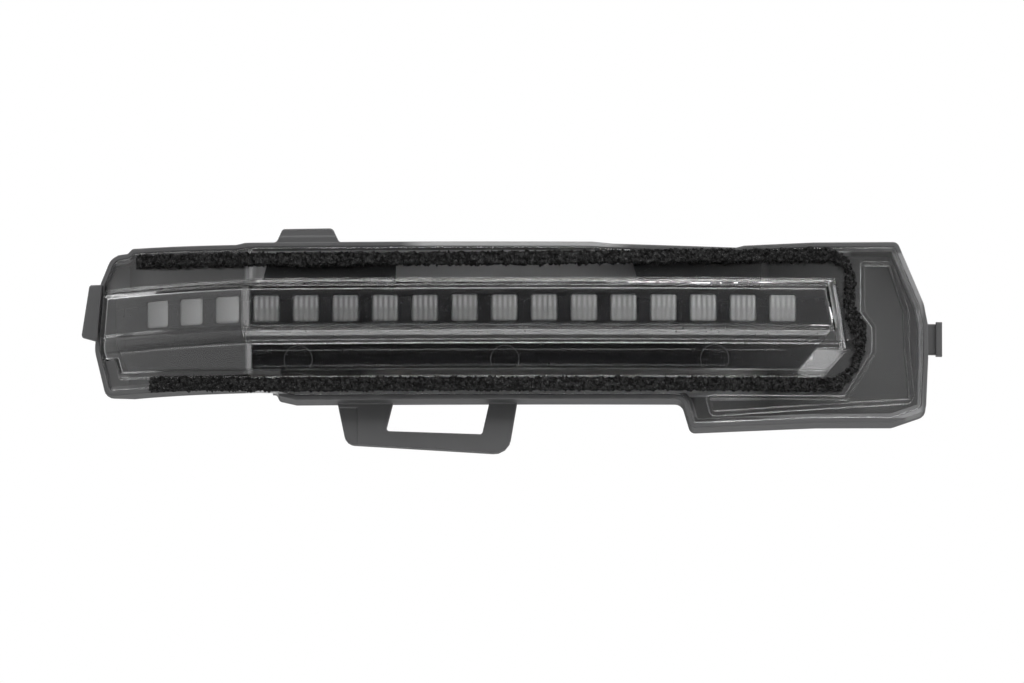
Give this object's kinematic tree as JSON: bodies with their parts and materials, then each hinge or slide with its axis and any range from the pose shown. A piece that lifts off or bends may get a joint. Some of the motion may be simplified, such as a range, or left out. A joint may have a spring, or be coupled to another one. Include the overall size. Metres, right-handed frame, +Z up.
{
  "type": "side repeater lamp",
  "caption": "Long curved side repeater lamp for a door mirror: clear lens with a row of fluted light windows, grey snap-in housing, foam seal and rear connector socket.",
  "frame": {"origin": "centre of the middle rest pad on the housing's rear seating plane, level with the middle of the row of light windows", "axes": "+X along the lamp towards its broad end, +Y backwards out of the seating plane with the lens facing -Y, +Z up"},
  "size_m": [0.2159, 0.041, 0.0561],
  "materials": {
    "clear_lens": "clear, polished",
    "grey_housing": "moulded, satin",
    "black_bezel": "polished",
    "frosted_diffuser": "frosted and fluted",
    "circuit_board": "solder mask",
    "link_film": "smooth film",
    "black_foam": "open cells",
    "led_body": "smooth",
    "pin_metal": "tinned",
    "chip_black": "moulded",
    "capacitor_tan": "fired",
    "screw_steel": "zinc plated",
    "vent_film": "membrane"
  },
  "bodies": {
    "root": {"outer_lens": "clear_lens", "rear_housing": "grey_housing", "inner_bezel": "black_bezel", "diffuser_strip": "frosted_diffuser", "end_diffuser": "frosted_diffuser", "main_board": "circuit_board", "end_board": "circuit_board", "board_link": "link_film", "foam_gasket": "black_foam", "led_01": "led_body", "led_02": "led_body", "led_03": "led_body", "led_04": "led_body", "led_05": "led_body", "led_06": "led_body", "led_07": "led_body", "led_08": "led_body", "led_09": "led_body", "led_10": "led_body", "led_11": "led_body", "led_12": "led_body", "led_13": "led_body", "led_14": "led_body", "led_15": "led_body", "led_16": "led_body", "led_17": "led_body", "terminal_pin_1": "pin_metal", "terminal_pin_2": "pin_metal", "driver_chip": "chip_black", "input_capacitor": "capacitor_tan", "resistor_1": "chip_black", "resistor_2": "chip_black", "resistor_3": "chip_black", "resistor_4": "chip_black", "board_screw_1": "screw_steel", "board_screw_2": "screw_steel", "vent_patch": "vent_film"}
  },
  "joints": []
}
